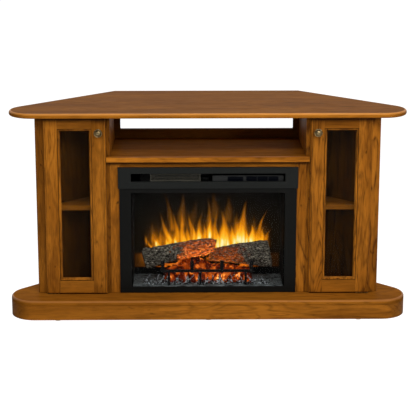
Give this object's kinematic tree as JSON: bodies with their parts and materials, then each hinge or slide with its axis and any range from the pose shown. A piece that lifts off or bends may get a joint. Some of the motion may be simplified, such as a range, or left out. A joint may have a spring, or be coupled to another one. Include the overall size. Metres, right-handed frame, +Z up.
{
  "type": "corner fireplace",
  "caption": "Corner TV stand with an electric log fireplace, an open shelf above it and a glazed cabinet with a hinged door on each side.",
  "frame": {"origin": "on the floor, at the middle of the whole object's plan", "axes": "+Z up, +X to the right of someone who looks at the front, -Y out of the front"},
  "size_m": [1.4812, 0.53, 0.778],
  "materials": {
    "top_wood": "brown stained solid wood under satin lacquer",
    "cabinet_wood": "brown stained solid wood under semi-gloss lacquer",
    "dark_wood": "stained wood in shadow, satin",
    "nylon": "matt nylon",
    "antique_brass": "antique brass, worn on the high spots",
    "dark_plastic": "matt",
    "clear_glass": "clear polished glass",
    "smoked_glass": "clear glass with a slight smoke tint",
    "black_steel": "matt black paint",
    "satin_black_steel": "satin black powder coat",
    "flame_screen": "dark translucent acrylic with flames projected on it",
    "log_resin": "painted moulded resin bark, lit red from inside",
    "grate_iron": "matt black",
    "ember_resin": "translucent moulded resin lit from below",
    "ash_fibre": "grey ash texture",
    "charcoal_resin": "grey and white painted resin",
    "circuit_board": "green solder mask",
    "bright_metal": "bright reflective foil on a steel rod",
    "motor_steel": "plated steel",
    "bush_plastic": "natural acetal",
    "wheel_metal": "bare metal",
    "element_metal": "heat-tinted heating rods",
    "grille_metal": "heat-tinted wire",
    "display_plastic": "dark glossy window",
    "button_plastic": "dark semi-gloss",
    "screw_steel": "zinc plated"
  },
  "bodies": {
    "root": {"top_board": "top_wood", "base_deck": "cabinet_wood", "plinth_front": "cabinet_wood", "plinth_sides": "cabinet_wood", "plinth_tips": "cabinet_wood", "plinth_back": "dark_wood", "floor_glides": "nylon", "side_panels": "cabinet_wood", "partitions": "cabinet_wood", "face_stiles": "cabinet_wood", "fire_stiles": "cabinet_wood", "face_rails": "cabinet_wood", "centre_shelf": "cabinet_wood", "shelf_nosing": "cabinet_wood", "back_frame": "dark_wood", "rear_vent_panel": "dark_wood", "cabinet_shelves": "cabinet_wood", "shelf_pins": "antique_brass", "hinge_frame_leaves": "antique_brass", "magnetic_catches": "dark_plastic", "firebox_shell": "black_steel", "firebox_rear_cover": "black_steel", "trim_frame": "satin_black_steel", "fascia_bar": "satin_black_steel", "front_glass": "smoked_glass", "flame_screen": "flame_screen", "log_left": "log_resin", "log_right": "log_resin", "grate": "grate_iron", "ember_bed": "ember_resin", "ash_mat": "ash_fibre", "charcoal_row": "charcoal_resin", "lamp_boards": "circuit_board", "flicker_motor": "motor_steel", "rod_bush": "bush_plastic", "blower_housing": "black_steel", "blower_motor": "motor_steel", "heater_element": "element_metal", "outlet_grille": "grille_metal", "control_plate": "dark_plastic", "display_window": "display_plastic", "control_board": "circuit_board", "firebox_screws": "screw_steel"},
    "left_door": {"left_door_stiles": "cabinet_wood", "left_door_rails": "cabinet_wood", "left_door_bead": "cabinet_wood", "left_door_glass": "clear_glass", "left_door_knob": "antique_brass", "left_door_fittings": "antique_brass"},
    "right_door": {"right_door_stiles": "cabinet_wood", "right_door_rails": "cabinet_wood", "right_door_bead": "cabinet_wood", "right_door_glass": "clear_glass", "right_door_knob": "antique_brass", "right_door_fittings": "antique_brass"},
    "flicker_rod": {"flicker_rod": "bright_metal"},
    "blower_wheel": {"blower_wheel": "wheel_metal"},
    "button_power": {"button_power": "button_plastic"},
    "button_flame": {"button_flame": "button_plastic"},
    "button_heat": {"button_heat": "button_plastic"}
  },
  "joints": [
    {"name": "left_door_hinge", "type": "hinge", "parent": "root", "child": "left_door", "pos_m": [-0.601, -0.1715, 0.4175], "axis": [0, 0, -1], "range_deg": [0, 110]},
    {"name": "right_door_hinge", "type": "hinge", "parent": "root", "child": "right_door", "pos_m": [0.601, -0.1715, 0.4175], "axis": [0, 0, 1], "range_deg": [0, 110]},
    {"name": "flicker_rod_spin", "type": "hinge", "parent": "root", "child": "flicker_rod", "pos_m": [0, 0.026, 0.118], "axis": [1, 0, 0], "continuous": true},
    {"name": "blower_wheel_spin", "type": "hinge", "parent": "root", "child": "blower_wheel", "pos_m": [-0.123, -0.05, 0.518], "axis": [1, 0, 0], "continuous": true},
    {"name": "button_power_press", "type": "slide", "parent": "root", "child": "button_power", "axis": [0, 1, 0], "range_m": [0, 0.0012], "stiffness_N_per_m": 600, "springref_m": -0.0006},
    {"name": "button_flame_press", "type": "slide", "parent": "root", "child": "button_flame", "axis": [0, 1, 0], "range_m": [0, 0.0012], "stiffness_N_per_m": 600, "springref_m": -0.0006},
    {"name": "button_heat_press", "type": "slide", "parent": "root", "child": "button_heat", "axis": [0, 1, 0], "range_m": [0, 0.0012], "stiffness_N_per_m": 600, "springref_m": -0.0006}
  ]
}
